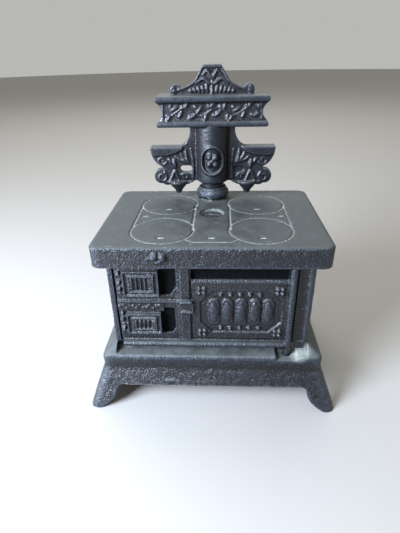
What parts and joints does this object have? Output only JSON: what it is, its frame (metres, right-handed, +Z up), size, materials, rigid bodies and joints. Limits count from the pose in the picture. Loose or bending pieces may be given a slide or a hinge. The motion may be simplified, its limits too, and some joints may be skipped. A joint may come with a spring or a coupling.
{
  "type": "still bank",
  "caption": "Cast iron coin bank in the form of a small kitchen range, with a stovepipe and warming shelf and a front that swings open to let the coins out.",
  "frame": {"origin": "on the floor under the middle of the feet", "axes": "+X to the right seen from the front, +Y towards the back, +Z up"},
  "size_m": [0.1164, 0.0894, 0.1442],
  "materials": {
    "japanned_iron": "sand-cast iron under thin black japan paint, pebbly and half gloss",
    "worn_iron": "sand-cast iron, black paint dulled grey by dust and handling",
    "screw_steel": "dull oxidised steel"
  },
  "bodies": {
    "body": {"base": "japanned_iron", "left_side_wall": "japanned_iron", "right_side_wall": "japanned_iron", "back_wall": "japanned_iron", "cooktop": "worn_iron", "stovepipe": "japanned_iron", "tie_screw": "screw_steel", "tie_nut": "screw_steel", "pipe_screw": "screw_steel"},
    "door": {"front_door": "japanned_iron"}
  },
  "joints": [
    {"name": "door_hinge", "type": "hinge", "parent": "body", "child": "door", "pos_m": [0.0349, -0.0322, 0.05], "axis": [0, 0, 1], "range_deg": [0, 110]}
  ]
}
